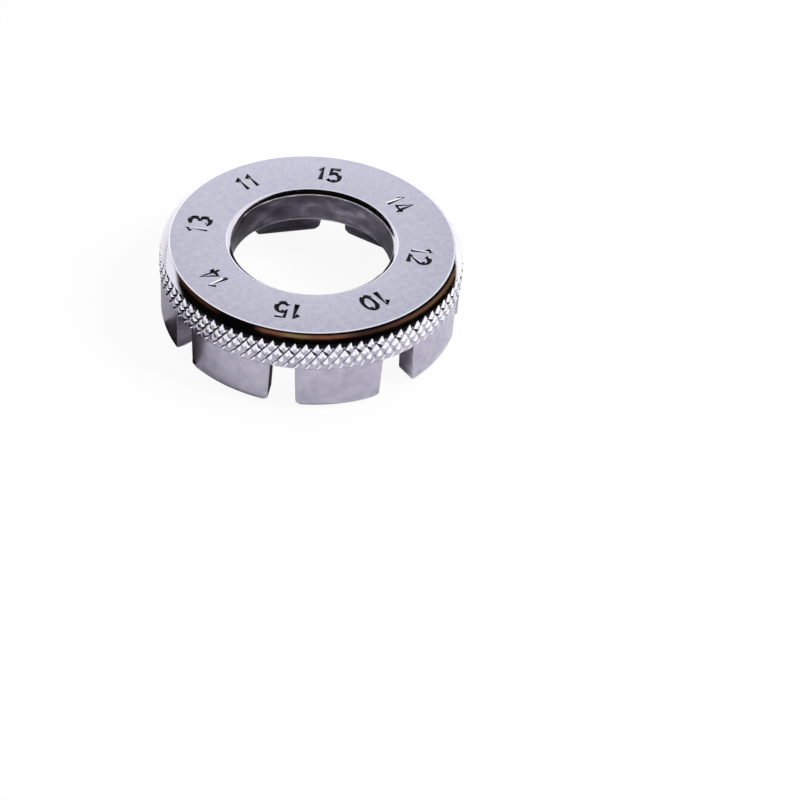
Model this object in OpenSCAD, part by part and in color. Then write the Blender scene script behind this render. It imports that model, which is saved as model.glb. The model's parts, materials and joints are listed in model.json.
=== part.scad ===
// Round spoke wrench with eight slots for nipples of six gauges, a chrome-plated die casting.
// It stands on the tips of its jaws with the numbered face up. Millimetres, +Z up.
// The origin is on the axis of the ring, at the level of the jaw tips.

/* [Ring] */
// Diameter over the crests of the knurl
grip_d = 42; // [38:0.5:50]
// Height from the jaw tips to the numbered face
total_h = 12.6; // [11:0.1:16]
// Thickness of the plate, from the roof of the slots to the numbered face
plate_t = 5.4; // [4:0.1:6.5]
// Diameter of the hole through the middle
bore_d = 22.2; // [16:0.1:24]
// Width and height of the chamfer at both ends of the hole
bore_chamfer = 0.65; // [0.2:0.05:1]

/* [Polished bevel] */
// Height of the bevel around the numbered face
bevel_h = 1.2; // [0.6:0.1:2]
// Width of the bevel, seen from above
bevel_w = 1; // [0.5:0.1:2]
// How far the foot of the bevel lies inside the crests of the knurl
bevel_inset = 0.35; // [0:0.05:0.6]

/* [Knurl] */
// Number of diamonds around the grip
knurl_count = 88; // [40:4:120]
// Number of half diamonds one above another
knurl_rows = 4; // [2:1:5]
// Depth of the grooves
knurl_depth = 0.5; // [0.2:0.05:0.8]
// Thickness of the rim behind the grooves
rim_wall = 1.3; // [0.8:0.1:2]

/* [Jaws] */
// Thickness of a jaw, from its flat inner face to its round outer face
jaw_t = 3.6; // [3:0.1:5]
// How far the outer faces of the jaws lie inside the crests of the knurl
jaw_inset = 0.25; // [0:0.05:0.6]
// Width of the slope at each end of a jaw's tip, along the jaw
slope_w = 1; // [0.5:0.1:2.5]
// Height of that slope
slope_h = 1.3; // [0.5:0.1:4]

/* [Slots] */
// Width of the slot for 10 gauge nipples, at its roof
slot_10_w = 5; // [4.9:0.1:6]
// Width of the slot for 11 gauge nipples, at its roof
slot_11_w = 4.7; // [4.5:0.1:5.4]
// Width of the slot for 12 gauge nipples, at its roof
slot_12_w = 4.4; // [4.1:0.1:4.8]
// Width of the slot for 13 gauge nipples, at its roof
slot_13_w = 4; // [3.7:0.1:4.3]
// Width of the two slots for 14 gauge nipples, at their roof
slot_14_w = 3.5; // [3.3:0.05:3.8]
// Width of the two slots for 15 gauge nipples, at their roof
slot_15_w = 3.3; // [3:0.05:3.5]
// How far each wall of a slot leans back from the roof to the mouth
slot_draft = 0.3; // [0:0.05:0.6]

/* [Hidden] */
// Slot widths, counter-clockwise from the front seen from above
slot_ws = [
    slot_10_w, slot_12_w, slot_14_w, slot_15_w,
    slot_11_w, slot_13_w, slot_14_w, slot_15_w
];
jaw_count = len(slot_ws);
jaw_step = 360 / jaw_count;
front_az = -90;

// Heights of the roof of the slots and of the foot of the bevel
roof_z = total_h - plate_t;
bevel_z = total_h - bevel_h;

// Radii, from the axis outwards; a jaw's inner radius is measured to the middle of its flat face
bore_r = bore_d / 2;
grip_r = grip_d / 2;
groove_r = grip_r - knurl_depth;
rim_in_r = groove_r - rim_wall;
bevel_r = grip_r - bevel_inset;
face_r = bevel_r - bevel_w;
jaw_out_r = grip_r - jaw_inset;
jaw_in_r = jaw_out_r - jaw_t;

// The tip of a jaw is a full round, cropped a little so that it stands on a narrow land
tip_r = jaw_t / 2;
tip_crop = 0.03;
// How far a cutting shape runs past what it cuts
overrun = 1;

$fn = 128;

// The flat ring with the numbered face, the hole and the polished bevel
module face_plate() {
    color("lightsteelblue")
        rotate_extrude()
            polygon([
                [bore_r, roof_z + bore_chamfer], [bore_r + bore_chamfer, roof_z],
                [rim_in_r, roof_z], [rim_in_r, bevel_z], [bevel_r, bevel_z],
                [face_r, total_h], [bore_r + bore_chamfer, total_h],
                [bore_r, total_h - bore_chamfer]
            ]);
}

// The grip band: pointed diamonds, on a net with a crest or a groove crossing at every corner.
// Its rings of corners run from the inner wall under the band, up the net and back to the inner wall.
module knurled_rim() {
    cols = 2 * knurl_count;
    rings = knurl_rows + 3;
    row_h = (bevel_z - roof_z) / knurl_rows;
    // The flat facets of the inner wall touch the plate's round edge from outside
    wall_r = rim_in_r / cos(180 / cols);
    function is_crest(col, ring) = (col + ring) % 2 == 0;
    function on_wall(ring) = ring == 0 || ring == rings - 1;
    function ring_r(col, ring) = on_wall(ring) ? wall_r : is_crest(col, ring) ? grip_r : groove_r;
    function ring_z(ring) = roof_z + row_h * min(max(ring - 1, 0), knurl_rows);
    function corner(col, ring) = (ring % rings) * cols + col % cols;
    points = [
        for (ring = [0 : rings - 1], col = [0 : cols - 1])
            let (r = ring_r(col, ring), az = 360 * col / cols)
                [r * cos(az), r * sin(az), ring_z(ring)]
    ];
    // Each cell of the net is split along the groove that crosses it
    cells = [
        for (ring = [0 : rings - 1], col = [0 : cols - 1])
            let (
                low = corner(col, ring), low_next = corner(col + 1, ring),
                high = corner(col, ring + 1), high_next = corner(col + 1, ring + 1)
            )
            each is_crest(col, ring)
                ? [[low, high, low_next], [low_next, high, high_next]]
                : [[low, high, high_next], [low, high_next, low_next]]
    ];
    color("silver")
        polyhedron(points, cells);
}

// What the rounding of a tip takes off one side of it, about the middle of the round
module tip_waste() {
    difference() {
        translate([0, -tip_r])
            square([tip_r + overrun, tip_r]);
        circle(tip_r);
    }
}

// Section of a jaw, rounded on its outer side: x from the axis of the ring, y up from the tip
module outer_section() {
    difference() {
        translate([jaw_in_r - overrun, 0])
            square([jaw_t + overrun, roof_z]);
        translate([jaw_out_r - tip_r, tip_r - tip_crop])
            tip_waste();
    }
}

// The same section, rounded on its inner side
module inner_section() {
    difference() {
        translate([jaw_in_r, 0])
            square([jaw_t + overrun, roof_z]);
        translate([jaw_in_r + tip_r, tip_r - tip_crop])
            mirror([1, 0]) tip_waste();
    }
}

// A nipple slot along +X from the axis outwards, with drafted walls and a sloping mouth
module slot_cut(width) {
    function wall_y(z) = width / 2 + slot_draft * (1 - z / roof_z);
    roof = [wall_y(roof_z + overrun), roof_z + overrun];
    brink = [wall_y(slope_h), slope_h];
    mouth = [wall_y(slope_h) + slope_w * (1 + overrun / slope_h), -overrun];
    half = [roof, brink, mouth];
    other_half = [for (i = [len(half) - 1 : -1 : 0]) [-half[i].x, half[i].y]];
    rotate([90, 0, 90])
        linear_extrude(grip_r)
            polygon(concat(half, other_half));
}

// Jaw i stands between slots i and i + 1, built about the +X axis and turned to its place
module jaw(i) {
    color("gainsboro")
        rotate([0, 0, front_az + (i + 0.5) * jaw_step])
            difference() {
                intersection() {
                    rotate([0, 0, -jaw_step / 2])
                        rotate_extrude(angle = jaw_step) outer_section();
                    rotate([90, 0, 0])
                        linear_extrude(grip_d, center = true) inner_section();
                }
                rotate([0, 0, -jaw_step / 2]) slot_cut(slot_ws[i]);
                rotate([0, 0, jaw_step / 2]) slot_cut(slot_ws[(i + 1) % jaw_count]);
            }
}

face_plate();
knurled_rim();
for (i = [0 : jaw_count - 1])
    jaw(i);
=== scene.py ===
"""Looks of a round spoke wrench, a chrome-plated die casting: a stamped face with a polished bevel,
a diamond knurl round the grip, and eight jaws with satin sides and polished tips."""
import json
import math

import bmesh
import bpy
from mathutils import Matrix, Vector, noise


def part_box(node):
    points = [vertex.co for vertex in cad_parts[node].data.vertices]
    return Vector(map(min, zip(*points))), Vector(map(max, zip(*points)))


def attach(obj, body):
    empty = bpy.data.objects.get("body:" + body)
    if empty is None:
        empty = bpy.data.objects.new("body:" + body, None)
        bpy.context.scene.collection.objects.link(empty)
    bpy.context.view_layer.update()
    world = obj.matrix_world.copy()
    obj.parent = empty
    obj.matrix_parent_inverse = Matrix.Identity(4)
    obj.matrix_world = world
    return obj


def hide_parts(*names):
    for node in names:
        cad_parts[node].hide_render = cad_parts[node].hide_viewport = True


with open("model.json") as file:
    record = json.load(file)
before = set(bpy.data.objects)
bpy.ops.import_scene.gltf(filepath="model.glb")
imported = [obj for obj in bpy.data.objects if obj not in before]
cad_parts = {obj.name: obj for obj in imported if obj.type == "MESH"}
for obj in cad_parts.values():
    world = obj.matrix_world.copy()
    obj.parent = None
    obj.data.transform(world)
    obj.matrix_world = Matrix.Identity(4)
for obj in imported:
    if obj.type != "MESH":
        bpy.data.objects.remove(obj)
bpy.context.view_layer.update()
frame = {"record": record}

MM = 0.001

# Sizes that the frame gives
plate_low, plate_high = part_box("face_plate")
rim_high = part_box("knurled_rim")[1]
MOUNTS = {mount["name"]: mount for mount in frame["record"]["mounts"]}
FACE_Z = plate_high.z
ROOF_Z = plate_low.z
BEVEL_Z = rim_high.z
BEVEL_R = plate_high.x
GRIP_R = rim_high.x
BORE_R = MOUNTS["bore"]["dims"]["r_mm"] * MM

# Face and bevel
BEVEL_W = 1.0 * MM
FACE_R = BEVEL_R - BEVEL_W
BEVEL_CROWN = 0.05 * MM
CROWN_SHARE = 0.86
BORE_CHAMFER = 0.65 * MM
TOP_CHAMFER_H = 0.54 * MM
FACE_EDGE_ROUND = 0.18 * MM
CHAMFER_ROUND = 0.07 * MM
BORE_EDGE_ROUND = 0.16 * MM
ROUND_STEPS = 5
TURN_STEPS = 256
UNDERSIDE_TILT = -0.9
FACE_SMOOTH = math.radians(24)

# Numbers stamped in the face, counter-clockwise from the front, with the width of the slot under each
SLOTS = [
    ("10", 5.0 * MM), ("12", 4.4 * MM), ("14", 3.5 * MM), ("15", 3.3 * MM),
    ("11", 4.7 * MM), ("13", 4.0 * MM), ("14", 3.5 * MM), ("15", 3.3 * MM),
]
SLOT_STEP = math.tau / len(SLOTS)
FRONT_AZ = -math.pi / 2
NUMBER_R = 15.4 * MM
NUMBER_SHIFT = Vector((-0.35, 0.28, 0)) * MM
DIGIT_H = 2.8 * MM
DIGIT_W = 1.6 * MM
ONE_W = 0.75 * MM
DIGIT_GAP = 0.85 * MM
STROKE_R = 0.36 * MM
STROKE_STEEP = 0.75
STROKE_STEPS = 2

# Knurl, its rises counted from the bottom of the grooves
KNURL_COUNT = 88
KNURL_ROWS = 4
KNURL_DEPTH = 0.5 * MM
RIM_WALL = 1.3 * MM
COLUMNS = 2 * KNURL_COUNT
ROW_H = (BEVEL_Z - ROOF_Z) / KNURL_ROWS
GROOVE_R = GRIP_R - KNURL_DEPTH
RIM_IN_R = GROOVE_R - RIM_WALL
WALL_RUN = 0.36 * MM
WALL_LEAN = 0.2
CROSS_RISE = 0.34 * MM
CROSS_H = 2.1 * MM
KNURL_SOFT = 0.04 * MM
SOFT_STEPS = 2
KNURL_SHARP = math.radians(20)
KNURL_SMOOTH = math.radians(30)

# Flats on the diamonds, and the radius past which a vertex is on one
FLAT_RISE = 0.42 * MM
FLAT_SHIFT = 0.147 * MM
FLAT_DROP = 0.105 * MM
FLAT_WEAR = 0.05 * MM
WEAR_SIZE = 0.31 * MM
ON_FLAT_SHARE = 0.8
ON_FLAT_R = GROOVE_R + ON_FLAT_SHARE * FLAT_RISE

# Teeth along the bevel, half diamonds along the jaws, and the height below which the walls that look down
# get no painted shade
END_ROW_SHARE = 0.8
TEETH_Z = BEVEL_Z - END_ROW_SHARE * ROW_H
TOOTH_H = 0.80 * MM
TOOTH_LIFT = 0.88 * MM
TOOTH_RISE = 0.10 * MM
LAST_ROW_Z = ROOF_Z + END_ROW_SHARE * ROW_H
LAST_RISE = 0.04 * MM
UNSHADED_SHARE = 0.3
UNSHADED_Z = ROOF_Z + UNSHADED_SHARE * ROW_H

# Jaws, with the tilts that part their flat inside, their ends and their round outside
JAW_T = 3.6 * MM
JAW_INSET = 0.25 * MM
JAW_OUT_R = GRIP_R - JAW_INSET
JAW_IN_R = JAW_OUT_R - JAW_T
TIP_R = JAW_T / 2
TIP_CROP = 0.03 * MM
TIP_STEPS = 12
SLOPE_W = 1.0 * MM
SLOPE_H = 1.3 * MM
SLOT_DRAFT = 0.30 * MM
JAW_EDGE = 0.12 * MM
EDGE_STEPS = 3
JAW_SHARP = math.radians(28)
JAW_SMOOTH = math.radians(40)
INSIDE_TILT = -0.7
OUTSIDE_TILT = 0.5
SLOPE_TILT = 0.1
OVERRUN = 1.0 * MM

# Camera, fitted to the photo's frame of 800 pixels
FRAME_PX = 800
FOCAL_PX = 2263
SENSOR_W = 36
NEAR_CLIP = 10 * MM
CAMERA_AZ = math.radians(-129.2)
CAMERA_EL = math.radians(41.85)
CAMERA_ROLL = math.radians(4.6)
CAMERA_DIST = 310 * MM
CAMERA_RIGHT = 12.0 * MM
CAMERA_UP = -21.9 * MM

# Floor, and the dark card on it that only the chrome mirrors, a painted reflection of shade; turns are
# counted from the camera's azimuth
FLOOR_SIDE = 6000 * MM
FLOOR_GLOW = 0.93
MIRRORED_GLOW = 0.10
FLAG_TURN = math.radians(-61)
FLAG_SIDE = 11 * MM
FLAG_R = 26 * MM
FLAG_Z = 0.2 * MM

# Room that the chrome mirrors: the edges of its dark part, and its colours from side to side and upwards
DARK_TURN = math.radians(10)
DARK_SLANT = 2.0
DARK_EDGE = (1.50, 1.60)
WINDOW_TURN = math.radians(-4)
WINDOW_SLANT = -17.0
WINDOW_EDGE = (-13.22, -13.12)
LOW_EDGE = (0.20, 0.24)
STEEP_EDGE = (0.52, 0.55)
PALE_WALL = "f4f2fa"
WOOD_STOPS = [
    (0.0, "3e2618"), (0.17, "3e2618"), (0.21, "0a0706"), (0.325, "0a0706"), (0.36, "7a4f3c"),
    (0.41, "7a4f3c"), (0.45, "8a734f"), (0.48, "8a734f"), (0.54, "7a513e"), (0.62, "7a513e"),
    (0.69, "3d2a26"), (0.75, "3d2a26"), (0.82, "5d4032"), (0.94, "71543c"),
]
BAND_STOPS = [(0.646, "000000"), (0.654, "ffffff"), (0.673, "ffffff"), (0.679, "000000")]
CEILING_STOPS = [(0.0, "060505"), (0.82, "060505"), (0.86, PALE_WALL)]

# Lamps
KEY_SOFTBOX = {
    "azimuth": math.radians(80), "elevation": math.radians(45), "distance": 500 * MM,
    "size": (200 * MM, 200 * MM), "watts": 2.0, "mirrored": False,
}
BACK_SOFTBOX = {
    "azimuth": math.radians(-175), "elevation": math.radians(33), "distance": 250 * MM,
    "size": (100 * MM, 70 * MM), "watts": 0.02, "mirrored": True,
}

# Sockets of a Mix node that mixes colours
MIX_SHARE = 0
MIX_FROM = 6
MIX_TO = 7
MIX_COLOUR = 2

MERGE_GAP = 0.001 * MM
CUT_GAP = 0.0001 * MM


def linear(hex_colour):
    """Linear RGBA of an sRGB hex value."""
    channels = [int(hex_colour[i:i + 2], 16) / 255 for i in (0, 2, 4)]
    return [c / 12.92 if c <= 0.04045 else ((c + 0.055) / 1.055) ** 2.4 for c in channels] + [1.0]


def add_node(tree, kind, inputs=None, stops=(), **settings):
    """Adds a node with its settings; an input is a value or the output that it is linked from.
    The stops of a colour ramp are pairs of a place and a hex colour."""
    made = tree.nodes.new(kind)
    for name, value in settings.items():
        setattr(made, name, value)
    for i, (place, colour) in enumerate(stops):
        elements = made.color_ramp.elements
        element = elements[i] if i < len(elements) else elements.new(1.0)
        element.position = place
        element.color = linear(colour)
    for socket, source in (inputs or {}).items():
        if isinstance(source, bpy.types.NodeSocket):
            tree.links.new(source, made.inputs[socket])
        else:
            made.inputs[socket].default_value = source
    return made


def new_material(name):
    """A bare material, its tree and its Object coordinates."""
    material = bpy.data.materials.new(name)
    material.use_nodes = True
    tree = material.node_tree
    tree.nodes.clear()
    place = add_node(tree, "ShaderNodeTexCoord").outputs["Object"]
    return material, tree, place


def finish_metal(tree, inputs):
    """Ends a tree with a metal shader."""
    shader = add_node(tree, "ShaderNodeBsdfPrincipled", {"Metallic": 1.0, **inputs})
    add_node(tree, "ShaderNodeOutputMaterial", {"Surface": shader.outputs["BSDF"]})


def satin_chrome():
    """Satin chrome plate on a sanded casting: a soft lavender grey with faint clouds and fine grain."""
    cloud_size = 0.9 * MM
    grain_size = 0.3 * MM
    grain_depth = 0.03 * MM
    material, tree, place = new_material("satin_chrome_plate")
    clouds = add_node(tree, "ShaderNodeTexNoise", {
        "Vector": place, "Scale": 1 / cloud_size, "Detail": 4.0, "Roughness": 0.6})
    grain = add_node(tree, "ShaderNodeTexNoise", {
        "Vector": place, "Scale": 1 / grain_size, "Detail": 2.0, "Roughness": 0.5})
    tint = add_node(tree, "ShaderNodeValToRGB", {"Fac": clouds.outputs["Fac"]},
                    stops=[(0.30, "a8aab6"), (0.50, "b5b6c2"), (0.70, "c2c2cb")])
    sheen = add_node(tree, "ShaderNodeMapRange", {
        "Value": clouds.outputs["Fac"], "From Min": 0.3, "From Max": 0.7,
        "To Min": 0.34, "To Max": 0.42})
    bump = add_node(tree, "ShaderNodeBump", {
        "Height": grain.outputs["Fac"], "Strength": 0.15, "Distance": grain_depth})
    finish_metal(tree, {
        "Base Color": tint.outputs["Color"], "Roughness": sheen.outputs["Result"],
        "Normal": bump.outputs["Normal"]})
    return material


def buffed_chrome():
    """Buffed chrome plate: a mirror with the faint waviness that buffing leaves."""
    wave_size = 1.6 * MM
    wave_depth = 0.02 * MM
    material, tree, place = new_material("buffed_chrome_plate")
    waves = add_node(tree, "ShaderNodeTexNoise", {
        "Vector": place, "Scale": 1 / wave_size, "Detail": 2.0})
    sheen = add_node(tree, "ShaderNodeMapRange", {
        "Value": waves.outputs["Fac"], "From Min": 0.3, "From Max": 0.7,
        "To Min": 0.05, "To Max": 0.10})
    bump = add_node(tree, "ShaderNodeBump", {
        "Height": waves.outputs["Fac"], "Strength": 0.25, "Distance": wave_depth})
    finish_metal(tree, {
        "Base Color": linear("eeedf2"), "Roughness": sheen.outputs["Result"],
        "Normal": bump.outputs["Normal"]})
    return material


def cast_chrome():
    """Chrome plate over the unsanded casting: a lumpy skin that glitters."""
    lump_size = 0.7 * MM
    lump_depth = 0.12 * MM
    material, tree, place = new_material("as_cast_chrome_plate")
    lumps = add_node(tree, "ShaderNodeTexNoise", {
        "Vector": place, "Scale": 1 / lump_size, "Detail": 3.0, "Roughness": 0.6})
    bump = add_node(tree, "ShaderNodeBump", {
        "Height": lumps.outputs["Fac"], "Strength": 0.8, "Distance": lump_depth})
    tint = add_node(tree, "ShaderNodeValToRGB", {"Fac": lumps.outputs["Fac"]},
                    stops=[(0.3, "9896a6"), (0.7, "c6c4d0")])
    finish_metal(tree, {
        "Base Color": tint.outputs["Color"], "Roughness": 0.22, "Normal": bump.outputs["Normal"]})
    return material


def shaded_recess_chrome(name, tints, edge):
    """Chrome in a recess, dark and dull with painted shade, with soft level streaks.
    The edge tint is its shine at a flat angle; a dark one paints shade there as well."""
    streak_size = 1.6 * MM
    level_squeeze = 0.45
    material, tree, place = new_material(name)
    stretch = add_node(tree, "ShaderNodeMapping", {
        "Vector": place, "Scale": (level_squeeze, level_squeeze, 1)})
    streaks = add_node(tree, "ShaderNodeTexNoise", {
        "Vector": stretch.outputs["Vector"], "Scale": 1 / streak_size, "Detail": 3.0})
    tint = add_node(tree, "ShaderNodeValToRGB", {"Fac": streaks.outputs["Fac"]},
                    stops=zip((0.34, 0.55, 0.70), tints))
    finish_metal(tree, {
        "Base Color": tint.outputs["Color"], "Roughness": 0.3, "Specular Tint": linear(edge)})
    return material


def number_chrome():
    """Chrome in a stamped number: bright at its brink, black with painted shade at its bottom."""
    material, tree, place = new_material("chrome_with_painted_shade_in_stamped_number")
    split = add_node(tree, "ShaderNodeSeparateXYZ", {"Vector": place})
    height = add_node(tree, "ShaderNodeMapRange", {
        "Value": split.outputs["Z"], "From Min": FACE_Z - STROKE_R * STROKE_STEEP, "From Max": FACE_Z})
    tint = add_node(tree, "ShaderNodeValToRGB", {"Fac": height.outputs["Result"]},
                    # Painted shade: black towards the bottom of the stroke.
                    stops=[(0.0, "0c0b0f"), (0.26, "1c1a20"), (0.46, "eeedf2")])
    finish_metal(tree, {"Base Color": tint.outputs["Color"], "Roughness": 0.12})
    return material


def knurl_chrome():
    """Chrome in the grooves of the knurl: a painted highlight up its sides, brighter than the satin, over
    painted shade at the bottom.
    """
    material, tree, place = new_material("knurl_chrome_with_painted_highlight_and_shade")
    flat = add_node(tree, "ShaderNodeVectorMath", {0: place, 1: (1, 1, 0)}, operation="MULTIPLY")
    reach = add_node(tree, "ShaderNodeVectorMath", {0: flat.outputs["Vector"]}, operation="LENGTH")
    height = add_node(tree, "ShaderNodeMapRange", {
        "Value": reach.outputs["Value"], "From Min": GROOVE_R, "From Max": GROOVE_R + FLAT_RISE})
    # Painted shade: black towards the bottom of the groove, painted highlight higher up the walls.
    tint = add_node(tree, "ShaderNodeValToRGB", {"Fac": height.outputs["Result"]},
                    stops=[(0.0, "141218"), (0.14, "1e1c22"), (0.28, "dcdce4"), (0.4, "f4f4f8")])
    finish_metal(tree, {"Base Color": tint.outputs["Color"], "Roughness": 0.10})
    return material


def jaw_chrome():
    """Chrome plate on a jaw: satin sides that turn to a buffed mirror on the rounded tip."""
    cloud_size = 1.8 * MM
    cloud_depth = 0.05 * MM
    buffed_z = 1.5 * MM
    satin_z = 2.3 * MM
    material, tree, place = new_material("satin_chrome_plate_with_buffed_tip")
    clouds = add_node(tree, "ShaderNodeTexNoise", {
        "Vector": place, "Scale": 1 / cloud_size, "Detail": 4.0, "Roughness": 0.6})
    split = add_node(tree, "ShaderNodeSeparateXYZ", {"Vector": place})
    satin = add_node(tree, "ShaderNodeMapRange", {
        "Value": split.outputs["Z"], "From Min": buffed_z, "From Max": satin_z})
    tint = add_node(tree, "ShaderNodeValToRGB", {"Fac": clouds.outputs["Fac"]},
                    stops=[(0.32, "aba8b9"), (0.50, "b9b6c5"), (0.68, "c3c0cd")])
    sheen = add_node(tree, "ShaderNodeMapRange", {
        "Value": satin.outputs["Result"], "To Min": 0.07, "To Max": 0.30})
    bump = add_node(tree, "ShaderNodeBump", {
        "Height": clouds.outputs["Fac"], "Strength": 0.2, "Distance": cloud_depth})
    finish_metal(tree, {
        "Base Color": tint.outputs["Color"], "Roughness": sheen.outputs["Result"],
        "Normal": bump.outputs["Normal"]})
    return material


def begin():
    """Leaves edit mode and deselects everything, so that the next operator acts on new things only."""
    if bpy.context.object and bpy.context.object.mode != "OBJECT":
        bpy.ops.object.mode_set(mode="OBJECT")
    bpy.ops.object.select_all(action="DESELECT")


def only(obj):
    """Makes an object the one that is selected and active."""
    begin()
    obj.select_set(True)
    bpy.context.view_layer.objects.active = obj


def edit(obj):
    """Enters edit mode on one object, with all its vertices selected."""
    only(obj)
    bpy.ops.object.mode_set(mode="EDIT")
    bpy.ops.mesh.select_mode(type="VERT")
    bpy.ops.mesh.select_all(action="SELECT")


def pick(obj, kind, test):
    """In edit mode, selects the vertices, edges or faces that pass a test."""
    bpy.ops.mesh.select_mode(type=kind)
    bpy.ops.mesh.select_all(action="DESELECT")
    mesh = bmesh.from_edit_mesh(obj.data)
    for item in {"VERT": mesh.verts, "EDGE": mesh.edges, "FACE": mesh.faces}[kind]:
        item.select_set(test(item))
    mesh.select_flush_mode()
    bmesh.update_edit_mesh(obj.data)


def radius(vertex):
    """How far a vertex lies from the axis of the ring."""
    return vertex.co.xy.length


def middle_r(face):
    """How far the middle of a face lies from the axis of the ring."""
    return face.calc_center_median().xy.length


def middle_z(face):
    """The height of the middle of a face."""
    return face.calc_center_median().z


def set_radius(obj, reach):
    """In edit mode, moves the selected vertices outwards or inwards, to a radius."""
    for vertex in bmesh.from_edit_mesh(obj.data).verts:
        if vertex.select:
            vertex.co.xy = vertex.co.xy.normalized() * reach
    bmesh.update_edit_mesh(obj.data)


def spread(obj, reach, test):
    """In edit mode, moves the vertices that pass a test to a radius."""
    pick(obj, "VERT", test)
    set_radius(obj, reach)


def cut(point, normal):
    """In edit mode, cuts the whole mesh at a plane, takes off what lies along the normal and closes it."""
    bpy.ops.mesh.select_all(action="SELECT")
    bpy.ops.mesh.bisect(plane_co=point, plane_no=normal, use_fill=True, clear_outer=True,
                        threshold=CUT_GAP)


def apply_modifier(obj, kind, **settings):
    """Adds a modifier with its settings and applies it."""
    only(obj)
    modifier = obj.modifiers.new(kind.lower(), kind)
    for name, value in settings.items():
        setattr(modifier, name, value)
    bpy.ops.object.modifier_apply(modifier=modifier.name)


def close_up(obj):
    """Merges doubled vertices and turns all faces outwards."""
    edit(obj)
    bpy.ops.mesh.remove_doubles(threshold=MERGE_GAP)
    bpy.ops.mesh.normals_make_consistent(inside=False)
    bpy.ops.object.mode_set(mode="OBJECT")


def plate(obj, finishes, tests):
    """Gives a piece its finishes; each test picks the faces that take the finish of that number."""
    for finish in finishes:
        obj.data.materials.append(finish)
    edit(obj)
    for index, test in tests.items():
        pick(obj, "FACE", test)
        obj.active_material_index = index
        bpy.ops.object.material_slot_assign()


def hand_over(obj, name, nodes, smooth_angle):
    """Names a finished piece, smooths it and puts it in the frame in place of its CAD nodes."""
    only(obj)
    bpy.ops.object.transform_apply(location=True, rotation=True, scale=True)
    bpy.ops.object.shade_smooth_by_angle(angle=smooth_angle)
    obj.name = name
    obj.data.name = name
    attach(obj, "root")
    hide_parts(*nodes)


def turned_ring():
    """The ring of the face plate, turned from its outline, with the rounds on its edges."""
    bevel_middle = Vector(((BEVEL_R + FACE_R) / 2, (BEVEL_Z + FACE_Z) / 2))
    bevel_out = Vector((FACE_Z - BEVEL_Z, BEVEL_W)).normalized()
    crown = bevel_middle + bevel_out * BEVEL_CROWN
    half_bevel = (crown - Vector((FACE_R, FACE_Z))).length
    corners = [
        (BORE_R, ROOF_Z + BORE_CHAMFER), (BORE_R + BORE_CHAMFER, ROOF_Z),
        (RIM_IN_R, ROOF_Z), (RIM_IN_R, BEVEL_Z), (BEVEL_R, BEVEL_Z),
        (crown.x, crown.y), (FACE_R, FACE_Z),
        (BORE_R + BORE_CHAMFER, FACE_Z), (BORE_R, FACE_Z - TOP_CHAMFER_H),
    ]
    rounds = {0: CHAMFER_ROUND, 1: CHAMFER_ROUND, 5: half_bevel * CROWN_SHARE, 6: FACE_EDGE_ROUND,
              7: CHAMFER_ROUND, 8: BORE_EDGE_ROUND}
    begin()
    bpy.ops.mesh.primitive_circle_add(vertices=len(corners), radius=GRIP_R)
    ring = bpy.context.object
    for vertex, (r, z) in zip(ring.data.vertices, corners):
        vertex.co = (r, 0, z)
    bpy.ops.object.mode_set(mode="EDIT")
    for corner, reach in rounds.items():
        there = Vector((corners[corner][0], 0, corners[corner][1]))
        pick(ring, "VERT", lambda v: (v.co - there).length < MERGE_GAP)
        bpy.ops.mesh.bevel(offset=reach, segments=ROUND_STEPS, affect="VERTICES")
    bpy.ops.mesh.select_all(action="SELECT")
    bpy.ops.mesh.spin(steps=TURN_STEPS, angle=math.tau, center=(0, 0, 0), axis=(0, 0, 1))
    close_up(ring)
    return ring


def arc(centre, reach, start, stop, steps=12):
    """Points along a stretch of an ellipse, from one angle to another in degrees."""
    turns = [math.radians(start + (stop - start) * i / steps) for i in range(steps + 1)]
    return [(centre[0] + reach[0] * math.cos(a), centre[1] + reach[1] * math.sin(a)) for a in turns]


# The stroke of each digit, in shares of its width and height
DIGIT_SHARES = {
    "0": arc((0.5, 0.5), (0.5, 0.5), 90, 450, 24),
    "1": [(0.0, 0.76), (0.75, 1.0), (0.75, 0.0)],
    "2": arc((0.5, 0.71), (0.48, 0.29), 165, -35) + [(0.02, 0.0), (1.0, 0.0)],
    "3": arc((0.48, 0.76), (0.42, 0.24), 155, -80) + arc((0.48, 0.27), (0.5, 0.27), 82, -155),
    "4": [(1.0, 0.28), (0.0, 0.28), (0.66, 1.0), (0.66, 0.0)],
    "5": [(0.92, 1.0), (0.14, 1.0), (0.06, 0.52)] + arc((0.46, 0.33), (0.52, 0.33), 130, -150),
}


def number_punch(words, azimuth):
    """The punch that stamps one number: strokes of round bar, a little flattened, their tops outwards."""
    widths = [ONE_W if digit == "1" else DIGIT_W for digit in words]
    left = -(sum(widths) + DIGIT_GAP * (len(words) - 1)) / 2
    curve = bpy.data.curves.new("punch", "CURVE")
    curve.dimensions = "3D"
    curve.twist_mode = "Z_UP"
    curve.bevel_depth = STROKE_R
    curve.bevel_resolution = STROKE_STEPS
    curve.use_fill_caps = True
    for digit, width in zip(words, widths):
        shares = DIGIT_SHARES[digit]
        spline = curve.splines.new("POLY")
        spline.use_cyclic_u = digit == "0"
        if spline.use_cyclic_u:
            shares = shares[:-1]
        spline.points.add(len(shares) - 1)
        for point, (x, y) in zip(spline.points, shares):
            point.co = (left + x * width, (y - 0.5) * DIGIT_H, 0, 1)
        left += width + DIGIT_GAP
    punch = bpy.data.objects.new("punch", curve)
    bpy.context.collection.objects.link(punch)
    only(punch)
    bpy.ops.object.convert(target="MESH")
    centre = Vector((NUMBER_R * math.cos(azimuth), NUMBER_R * math.sin(azimuth), FACE_Z))
    punch.location = centre + NUMBER_SHIFT
    punch.rotation_euler = (0, 0, azimuth - math.pi / 2)
    punch.scale = (1, 1, STROKE_STEEP)
    bpy.ops.object.transform_apply(location=True, rotation=True, scale=True)
    close_up(punch)
    return punch


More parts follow.
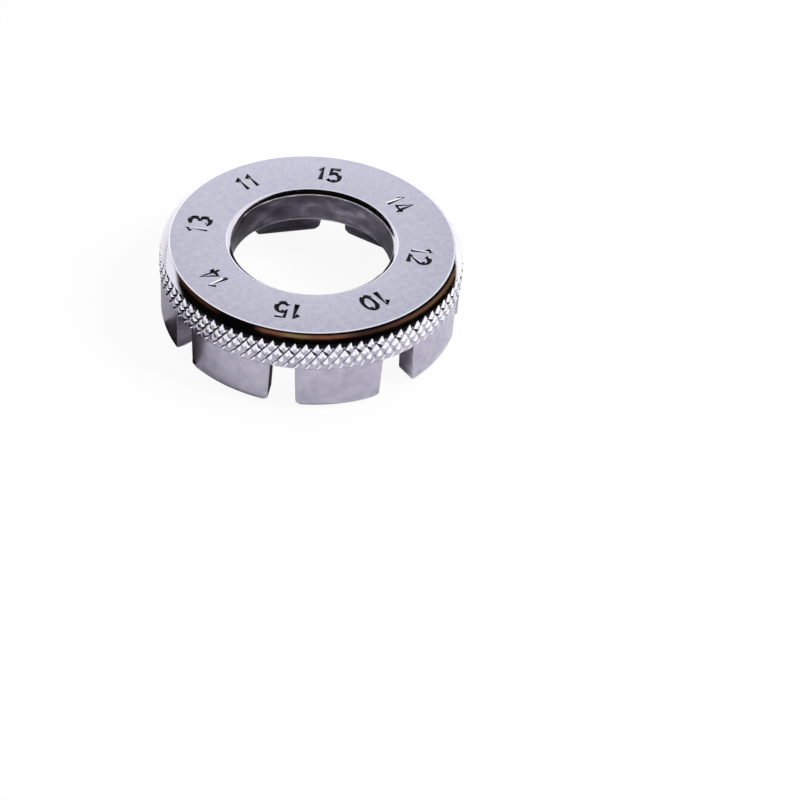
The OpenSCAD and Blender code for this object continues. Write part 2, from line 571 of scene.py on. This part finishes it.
def stamp_numbers(ring):
    """Stamps the eight numbers in the face, each over its slot."""
    punches = [number_punch(words, FRONT_AZ + i * SLOT_STEP) for i, (words, _) in enumerate(SLOTS)]
    begin()
    for punch in punches:
        punch.select_set(True)
    bpy.context.view_layer.objects.active = punches[0]
    bpy.ops.object.join()
    apply_modifier(ring, "BOOLEAN", operation="DIFFERENCE", object=punches[0], solver="EXACT",
                   use_self=True)
    bpy.data.objects.remove(punches[0])
    close_up(ring)


def face_plate(satin, buffed, cast, recess_shade, number):
    """The ring with the numbered face: satin on top, buffed on its bevel and chamfers, rough underneath,
    with painted shade in the hole and in the numbers."""
    ring = turned_ring()
    stamp_numbers(ring)
    numbers_in_r = BORE_R + 2 * BORE_CHAMFER
    numbers_out_r = FACE_R - BORE_CHAMFER
    plate(ring, (satin, buffed, cast, recess_shade, number), {
        0: lambda f: middle_z(f) > FACE_Z - MERGE_GAP,
        1: lambda f: middle_z(f) < FACE_Z - MERGE_GAP,
        2: lambda f: f.normal.z < UNDERSIDE_TILT,
        3: lambda f: middle_r(f) < BORE_R + MERGE_GAP,
        4: lambda f: (numbers_in_r < middle_r(f) < numbers_out_r
                      and FACE_Z - BEVEL_W < middle_z(f) < FACE_Z - MERGE_GAP),
    })
    hand_over(ring, "stamped_face_plate", ["face_plate"], FACE_SMOOTH)


def in_groove(vertex):
    """Whether a vertex of the knurl lies at the bottom of a groove."""
    return abs(radius(vertex) - GROOVE_R) < MERGE_GAP


def is_crest(vertex):
    """Whether a vertex of the plain net becomes the middle of a diamond."""
    column = round(math.atan2(vertex.co.y, vertex.co.x) / math.tau * COLUMNS)
    row = round((vertex.co.z - ROOF_Z) / ROW_H)
    return (column + row + 1) % 2 == 0


def is_cross_groove(edge):
    """Whether an edge of the knurl runs along a groove of the shallower run, below the bevel."""
    ends = sorted(edge.verts, key=lambda v: v.co.z)
    lean = ends[0].co.xy.cross(ends[1].co.xy)
    low = ends[1].co.z < BEVEL_Z - MERGE_GAP
    return low and lean < 0 and all(in_groove(v) for v in ends)


def is_groove_wall(face, up):
    """Whether a face is a wall of a groove that looks up, for 1, or down, for -1. The cross grooves
    fade out downwards."""
    middle = face.calc_center_median()
    sideways = face.normal.xy.dot(Vector((-middle.y, middle.x)))
    crosses = sideways * face.normal.z > 0
    return (middle.xy.length > GROOVE_R and face.normal.z * up > WALL_LEAN
            and (not crosses or middle.z > BEVEL_Z - CROSS_H))


def knurl_net():
    """An open band of flat diamonds, whose edges are the bottoms of the grooves. It stays in edit mode."""
    begin()
    bpy.ops.mesh.primitive_circle_add(vertices=COLUMNS, radius=GROOVE_R, location=(0, 0, ROOF_Z))
    rim = bpy.context.object
    bpy.ops.object.transform_apply(location=True)
    edit(rim)
    for _ in range(KNURL_ROWS):
        bpy.ops.mesh.extrude_region_move(TRANSFORM_OT_translate={"value": (0, 0, ROW_H)})
    spread(rim, GRIP_R, is_crest)
    bpy.ops.mesh.select_all(action="SELECT")
    bpy.ops.mesh.quads_convert_to_tris(quad_method="SHORTEST_DIAGONAL")
    pick(rim, "VERT", lambda v: radius(v) > GRIP_R - MERGE_GAP)
    bpy.ops.mesh.dissolve_verts()
    bpy.ops.mesh.select_all(action="SELECT")
    bpy.ops.mesh.normals_make_consistent(inside=False)
    return rim


def raise_flats(rim):
    """Insets the diamonds to raised flats, lifts the teeth along the bevel, and fills the cross grooves
    in part, so that one run of grooves is deeper than the other."""
    pick(rim, "FACE", lambda f: middle_z(f) < ROOF_Z + ROW_H / 2)
    bpy.ops.mesh.inset(thickness=WALL_RUN / 2, depth=FLAT_RISE, use_individual=True)
    pick(rim, "FACE", lambda f: ROOF_Z + ROW_H / 2 < middle_z(f) < BEVEL_Z - ROW_H / 2
         and len(f.verts) == 4 and all(in_groove(v) for v in f.verts))
    bpy.ops.mesh.inset(thickness=WALL_RUN, depth=FLAT_RISE, use_individual=True)
    bpy.ops.transform.rotate(value=-FLAT_SHIFT / GRIP_R, orient_axis="Z", center_override=(0, 0, 0))
    bpy.ops.transform.translate(value=(0, 0, -FLAT_DROP))
    pick(rim, "VERT", lambda v: v.co.z > TEETH_Z and radius(v) > ON_FLAT_R)
    bpy.ops.transform.translate(value=(0, 0, TOOTH_LIFT))
    pick(rim, "EDGE", is_cross_groove)
    bpy.ops.mesh.subdivide(number_cuts=1)
    spread(rim, GROOVE_R + CROSS_RISE, lambda v: radius(v) < GROOVE_R - MERGE_GAP)


def wear_flats(rim):
    """Wears the flats unevenly, lays the tips of the teeth back, and parts the teeth from the rows below."""
    pick(rim, "VERT", lambda v: radius(v) > ON_FLAT_R)
    for vertex in bmesh.from_edit_mesh(rim.data).verts:
        if vertex.select:
            vertex.co.xy += vertex.co.xy.normalized() * FLAT_WEAR * noise.noise(vertex.co / WEAR_SIZE)
    bmesh.update_edit_mesh(rim.data)
    tip_r = GROOVE_R + TOOTH_RISE
    spread(rim, tip_r, lambda v: v.co.z > BEVEL_Z - ROW_H / 2 and radius(v) > tip_r)
    bpy.ops.mesh.select_all(action="SELECT")
    bpy.ops.mesh.bisect(plane_co=(0, 0, BEVEL_Z - TOOTH_H), plane_no=(0, 0, 1), threshold=CUT_GAP)


def close_band(rim):
    """Brings the lowest row in to the jaws, and closes the band with its two flat ends and inner wall."""
    spread(rim, JAW_OUT_R, lambda v: v.co.z < ROOF_Z + MERGE_GAP)
    spread(rim, JAW_OUT_R + LAST_RISE,
           lambda v: ROOF_Z + MERGE_GAP < v.co.z < LAST_ROW_Z and radius(v) > ON_FLAT_R)
    for z in (ROOF_Z, BEVEL_Z):
        pick(rim, "EDGE", lambda e: e.is_boundary and all(abs(v.co.z - z) < MERGE_GAP for v in e.verts))
        bpy.ops.mesh.extrude_region_move()
        set_radius(rim, RIM_IN_R)
    pick(rim, "EDGE", lambda e: e.is_boundary)
    bpy.ops.mesh.bridge_edge_loops()
    close_up(rim)


def knurled_rim(satin, bright, recess_shade):
    """The grip band: satin flats, walls that look up with a painted highlight, and ones that look down with
    painted shade.
    """
    rim = knurl_net()
    raise_flats(rim)
    wear_flats(rim)
    close_band(rim)
    # Walls that look up and the teeth along the bevel take a painted highlight; walls that look down, except
    # the lowest, take painted shade.
    plate(rim, (satin, bright, recess_shade), {
        1: lambda f: is_groove_wall(f, 1) or middle_z(f) > BEVEL_Z - TOOTH_H,
        2: lambda f: is_groove_wall(f, -1) and middle_z(f) > UNSHADED_Z,
    })
    apply_modifier(rim, "BEVEL", width=KNURL_SOFT, segments=SOFT_STEPS, limit_method="ANGLE",
                   angle_limit=KNURL_SHARP, use_clamp_overlap=True)
    hand_over(rim, "diamond_knurl", ["knurled_rim"], KNURL_SMOOTH)


def jaw_blank():
    """A length of the jaw ring about the +X axis: flat inside, round outside, with a full round tip."""
    height = ROOF_Z + TIP_CROP
    begin()
    bpy.ops.mesh.primitive_cylinder_add(
        vertices=TURN_STEPS, radius=JAW_OUT_R, depth=height, location=(0, 0, ROOF_Z - height / 2))
    drum = bpy.context.object
    bpy.ops.object.transform_apply(location=True)
    bpy.ops.object.mode_set(mode="EDIT")
    pick(drum, "EDGE", lambda e: all(v.co.z < 0 for v in e.verts))
    bpy.ops.mesh.bevel(offset=TIP_R, segments=TIP_STEPS, affect="EDGES")
    close_up(drum)
    begin()
    depth = JAW_T + OVERRUN
    bpy.ops.mesh.primitive_cube_add(
        size=1, scale=(depth, GRIP_R, height), location=(JAW_IN_R + depth / 2, 0, ROOF_Z - height / 2))
    bar = bpy.context.object
    bpy.ops.object.transform_apply(location=True, scale=True)
    bpy.ops.object.mode_set(mode="EDIT")
    pick(bar, "EDGE", lambda e: all(v.co.z < 0 and v.co.x < JAW_IN_R + MERGE_GAP for v in e.verts))
    bpy.ops.mesh.bevel(offset=TIP_R, segments=TIP_STEPS, affect="EDGES")
    close_up(bar)
    apply_modifier(bar, "BOOLEAN", operation="INTERSECT", object=drum, solver="EXACT")
    bpy.data.objects.remove(drum)
    edit(bar)
    cut((0, 0, 0), (0, 0, -1))
    close_up(bar)
    return bar


def cut_side(side, slot_w):
    """Cuts one end of a jaw to its drafted slot wall and to the slope at the mouth."""
    turn = Matrix.Rotation(side * SLOT_STEP / 2, 3, "Z")
    brink_y = slot_w / 2 + SLOT_DRAFT * (1 - SLOPE_H / ROOF_Z)
    planes = [
        (Vector((0, -side * slot_w / 2, ROOF_Z)), Vector((0, side, -SLOT_DRAFT / ROOF_Z))),
        (Vector((0, -side * brink_y, SLOPE_H)), Vector((0, side, -SLOPE_W / SLOPE_H))),
    ]
    for point, normal in planes:
        cut(turn @ point, (turn @ normal).normalized())


def jaws(chrome, recess_shade, slot_shade_plate):
    """The eight jaws, each cut from a copy of one blank and turned to its place."""
    blank = jaw_blank()
    for i in range(len(SLOTS)):
        only(blank)
        bpy.ops.object.duplicate()
        jaw = bpy.context.object
        edit(jaw)
        cut_side(-1, SLOTS[i][1])
        cut_side(1, SLOTS[(i + 1) % len(SLOTS)][1])
        close_up(jaw)
        edit(jaw)
        pick(jaw, "EDGE", lambda e: e.is_manifold and e.calc_face_angle() > JAW_SHARP
             and not all(v.co.z > ROOF_Z - MERGE_GAP for v in e.verts))
        bpy.ops.mesh.bevel(offset=JAW_EDGE, segments=EDGE_STEPS, affect="EDGES")
        close_up(jaw)
        jaw.rotation_euler = (0, 0, FRONT_AZ + (i + 0.5) * SLOT_STEP)
        # The inner faces take the bore's painted shade, and the slot walls the slot's.
        plate(jaw, (chrome, recess_shade, slot_shade_plate), {
            1: lambda f: f.normal.x < INSIDE_TILT,
            2: lambda f: INSIDE_TILT < f.normal.x < OUTSIDE_TILT and abs(f.normal.z) < SLOPE_TILT,
        })
        hand_over(jaw, f"cast_jaw_{i + 1}", [f"jaw_{i + 1}"], JAW_SMOOTH)
    bpy.data.objects.remove(blank)


def way(azimuth, elevation=0.0):
    """Unit vector towards an azimuth and an elevation."""
    return Vector((math.cos(elevation) * math.cos(azimuth), math.cos(elevation) * math.sin(azimuth),
                   math.sin(elevation)))


def camera():
    """The camera at the photo's viewing angle."""
    back = way(CAMERA_AZ, CAMERA_EL)
    level = way(CAMERA_AZ + math.pi / 2)
    upright = back.cross(level)
    right = math.cos(CAMERA_ROLL) * level + math.sin(CAMERA_ROLL) * upright
    up = math.cos(CAMERA_ROLL) * upright - math.sin(CAMERA_ROLL) * level
    eye = Vector((0, 0, FACE_Z)) + CAMERA_RIGHT * right + CAMERA_UP * up + CAMERA_DIST * back
    begin()
    bpy.ops.object.camera_add()
    made = bpy.context.object
    axes = Matrix((right, up, back)).transposed().to_4x4()
    made.matrix_world = Matrix.Translation(eye) @ axes
    made.data.sensor_width = SENSOR_W
    made.data.lens = FOCAL_PX / FRAME_PX * SENSOR_W
    made.data.clip_start = NEAR_CLIP
    bpy.context.scene.camera = made


def floor():
    """A sheet of white paper that keeps the shadow of the wrench. It glows less in the chrome than to the
    eye."""
    begin()
    bpy.ops.mesh.primitive_plane_add(size=FLOOR_SIDE)
    sheet = bpy.context.object
    sheet.name = "floor"
    paper = bpy.data.materials.new("white_paper")
    paper.use_nodes = True
    tree = paper.node_tree
    tree.nodes.clear()
    ray = add_node(tree, "ShaderNodeLightPath")
    straight = add_node(tree, "ShaderNodeMath", {
        0: ray.outputs["Is Camera Ray"], 1: ray.outputs["Is Transmission Ray"]}, operation="MAXIMUM")
    mirrored = add_node(tree, "ShaderNodeMath", {
        0: ray.outputs["Is Glossy Ray"], 1: MIRRORED_GLOW}, operation="MULTIPLY")
    share = add_node(tree, "ShaderNodeMath", {
        0: straight.outputs["Value"], 1: FLOOR_GLOW, 2: mirrored.outputs["Value"]},
        operation="MULTIPLY_ADD")
    matt = add_node(tree, "ShaderNodeBsdfDiffuse", {"Color": linear("fbfbfb")})
    glow = add_node(tree, "ShaderNodeEmission", {"Color": linear("ffffff"), "Strength": 1.0})
    shader = add_node(tree, "ShaderNodeMixShader", {
        0: share.outputs["Value"], 1: matt.outputs["BSDF"], 2: glow.outputs["Emission"]})
    add_node(tree, "ShaderNodeOutputMaterial", {"Surface": shader.outputs["Shader"]})
    sheet.data.materials.append(paper)


def flag():
    """A dark card on the floor at the left, out of the camera's sight and casting no shadow, that only the
    chrome mirrors: a painted reflection of shade that gives the chrome dark edges.
    """
    turn = CAMERA_AZ + FLAG_TURN
    begin()
    bpy.ops.mesh.primitive_plane_add(size=FLAG_SIDE)
    card = bpy.context.object
    card.name = "flag"
    card.rotation_euler = (0, 0, turn)
    card.location = FLAG_R * way(turn) + Vector((0, 0, FLAG_Z))
    bpy.ops.object.transform_apply(location=True, rotation=True)
    shadow_paint = bpy.data.materials.new("painted_shadow_reflection")
    shadow_paint.use_nodes = True
    shader = shadow_paint.node_tree.nodes["Principled BSDF"]
    shader.inputs["Base Color"].default_value = linear("2a1e1a")
    shader.inputs["Roughness"].default_value = 0.9
    card.data.materials.append(shadow_paint)
    card.visible_camera = False
    card.visible_diffuse = False
    card.visible_shadow = False


def mirror_facing(tree, direction):
    """The way that a polished surface faces when it mirrors a direction of the room to the camera:
    how far it looks up, and its level direction."""
    halfway = add_node(tree, "ShaderNodeVectorMath", {
        0: direction, 1: way(CAMERA_AZ, CAMERA_EL)}, operation="ADD")
    facing = add_node(tree, "ShaderNodeVectorMath", {0: halfway.outputs["Vector"]}, operation="NORMALIZE")
    split = add_node(tree, "ShaderNodeSeparateXYZ", {"Vector": facing.outputs["Vector"]})
    flat = add_node(tree, "ShaderNodeVectorMath", {
        0: facing.outputs["Vector"], 1: (1, 1, 0)}, operation="MULTIPLY")
    level = add_node(tree, "ShaderNodeVectorMath", {0: flat.outputs["Vector"]}, operation="NORMALIZE")
    return split.outputs["Z"], level.outputs["Vector"]


def dark_room(tree, rise, level):
    """The colour of the dark part of the room: a pale ceiling over darkness, with a band of brown wood."""
    right = add_node(tree, "ShaderNodeVectorMath", {
        0: level, 1: way(CAMERA_AZ + math.pi / 2)}, operation="DOT_PRODUCT")
    across = add_node(tree, "ShaderNodeMapRange", {"Value": right.outputs["Value"], "From Min": -1.0})
    wood = add_node(tree, "ShaderNodeValToRGB", {"Fac": across.outputs["Result"]}, stops=WOOD_STOPS)
    band = add_node(tree, "ShaderNodeValToRGB", {"Fac": rise}, stops=BAND_STOPS)
    ceiling = add_node(tree, "ShaderNodeValToRGB", {"Fac": rise}, stops=CEILING_STOPS)
    room = add_node(tree, "ShaderNodeMix", {
        MIX_SHARE: band.outputs["Color"], MIX_FROM: ceiling.outputs["Color"],
        MIX_TO: wood.outputs["Color"]}, data_type="RGBA")
    return room.outputs[MIX_COLOUR]


def dark_share(tree, direction, rise, level):
    """How dark the room is, from 0 to 1: dark behind the camera, up to the window there, and pale again
    near the floor."""
    front = add_node(tree, "ShaderNodeVectorMath", {
        0: level, 1: way(CAMERA_AZ + DARK_TURN)}, operation="DOT_PRODUCT")
    slanted = add_node(tree, "ShaderNodeMath", {
        0: rise, 1: DARK_SLANT, 2: front.outputs["Value"]}, operation="MULTIPLY_ADD")
    behind = add_node(tree, "ShaderNodeMapRange", {
        "Value": slanted.outputs["Value"], "From Min": DARK_EDGE[0], "From Max": DARK_EDGE[1]},
        interpolation_type="SMOOTHSTEP")
    inward = add_node(tree, "ShaderNodeVectorMath", {
        0: level, 1: way(CAMERA_AZ + WINDOW_TURN)}, operation="DOT_PRODUCT")
    narrowed = add_node(tree, "ShaderNodeMath", {
        0: rise, 1: WINDOW_SLANT, 2: inward.outputs["Value"]}, operation="MULTIPLY_ADD")
    between = add_node(tree, "ShaderNodeMapRange", {
        "Value": narrowed.outputs["Value"], "From Min": WINDOW_EDGE[0], "From Max": WINDOW_EDGE[1]},
        interpolation_type="SMOOTHSTEP")
    height = add_node(tree, "ShaderNodeSeparateXYZ", {"Vector": direction})
    high = add_node(tree, "ShaderNodeMapRange", {
        "Value": height.outputs["Z"], "From Min": LOW_EDGE[0], "From Max": LOW_EDGE[1]})
    steep = add_node(tree, "ShaderNodeMapRange", {
        "Value": rise, "From Min": STEEP_EDGE[0], "From Max": STEEP_EDGE[1]})
    raised = add_node(tree, "ShaderNodeMath", {
        0: high.outputs["Result"], 1: steep.outputs["Result"]}, operation="MAXIMUM")
    dark = add_node(tree, "ShaderNodeMath", {
        0: behind.outputs["Result"], 1: between.outputs["Result"]}, operation="MULTIPLY")
    share = add_node(tree, "ShaderNodeMath", {
        0: dark.outputs["Value"], 1: raised.outputs["Value"]}, operation="MULTIPLY")
    return share.outputs["Value"]


def studio():
    """The room that the chrome mirrors: pale all round, and dark behind the camera with a band of brown
    wood. Its parts are laid out by the way that a polished surface faces when the photo's camera sees
    them in it."""
    world = bpy.data.worlds.new("studio")
    world.use_nodes = True
    bpy.context.scene.world = world
    tree = world.node_tree
    tree.nodes.clear()
    direction = add_node(tree, "ShaderNodeTexCoord").outputs["Generated"]
    rise, level = mirror_facing(tree, direction)
    around = add_node(tree, "ShaderNodeMix", {
        MIX_SHARE: dark_share(tree, direction, rise, level), MIX_FROM: linear(PALE_WALL),
        MIX_TO: dark_room(tree, rise, level)}, data_type="RGBA")
    ray = add_node(tree, "ShaderNodeLightPath")
    seen = add_node(tree, "ShaderNodeMix", {
        MIX_SHARE: ray.outputs["Is Camera Ray"], MIX_FROM: around.outputs[MIX_COLOUR],
        MIX_TO: linear("ffffff")}, data_type="RGBA")
    shader = add_node(tree, "ShaderNodeBackground", {"Color": seen.outputs[MIX_COLOUR], "Strength": 1.0})
    add_node(tree, "ShaderNodeOutputWorld", {"Surface": shader.outputs["Background"]})


def softbox(name, azimuth, elevation, distance, size, watts, mirrored):
    """A soft lamp that looks at the wrench, its azimuth counted from the camera's. One that isn't
    mirrored stands for light that has spread over the whole room before it reaches the wrench."""
    towards = way(CAMERA_AZ + azimuth, elevation)
    begin()
    bpy.ops.object.light_add(type="AREA")
    lamp = bpy.context.object
    lamp.name = name
    lamp.data.shape = "RECTANGLE"
    lamp.data.size, lamp.data.size_y = size
    lamp.data.energy = watts
    lamp.location = Vector((0, 0, FACE_Z / 2)) + towards * distance
    lamp.rotation_euler = towards.to_track_quat("Z", "Y").to_euler()
    lamp.visible_camera = False
    lamp.visible_glossy = mirrored


# Painted shade: dark chrome for the bore and the jaws' insides, for the slot walls, and for the groove walls
# that look down.
bore_shade_plate = shaded_recess_chrome("chrome_with_painted_shade_in_bore", ("53505b", "73707b", "9e9ba6"), "ffffff")
slot_shade_plate = shaded_recess_chrome("chrome_with_painted_shade_in_slot", ("9794a0", "b5b2be", "d2cfda"), "2c2a30")
groove_shade_plate = shaded_recess_chrome("chrome_with_painted_shade_in_groove", ("28262e", "38363e", "504e58"), "ffffff")
jaw_satin = jaw_chrome()
face_plate(satin_chrome(), buffed_chrome(), cast_chrome(), bore_shade_plate, number_chrome())
knurled_rim(jaw_satin, knurl_chrome(), groove_shade_plate)
jaws(jaw_satin, bore_shade_plate, slot_shade_plate)
camera()
floor()
flag()
studio()
softbox("key_softbox", **KEY_SOFTBOX)
softbox("back_softbox", **BACK_SOFTBOX)
bpy.context.scene.view_settings.view_transform = "Standard"
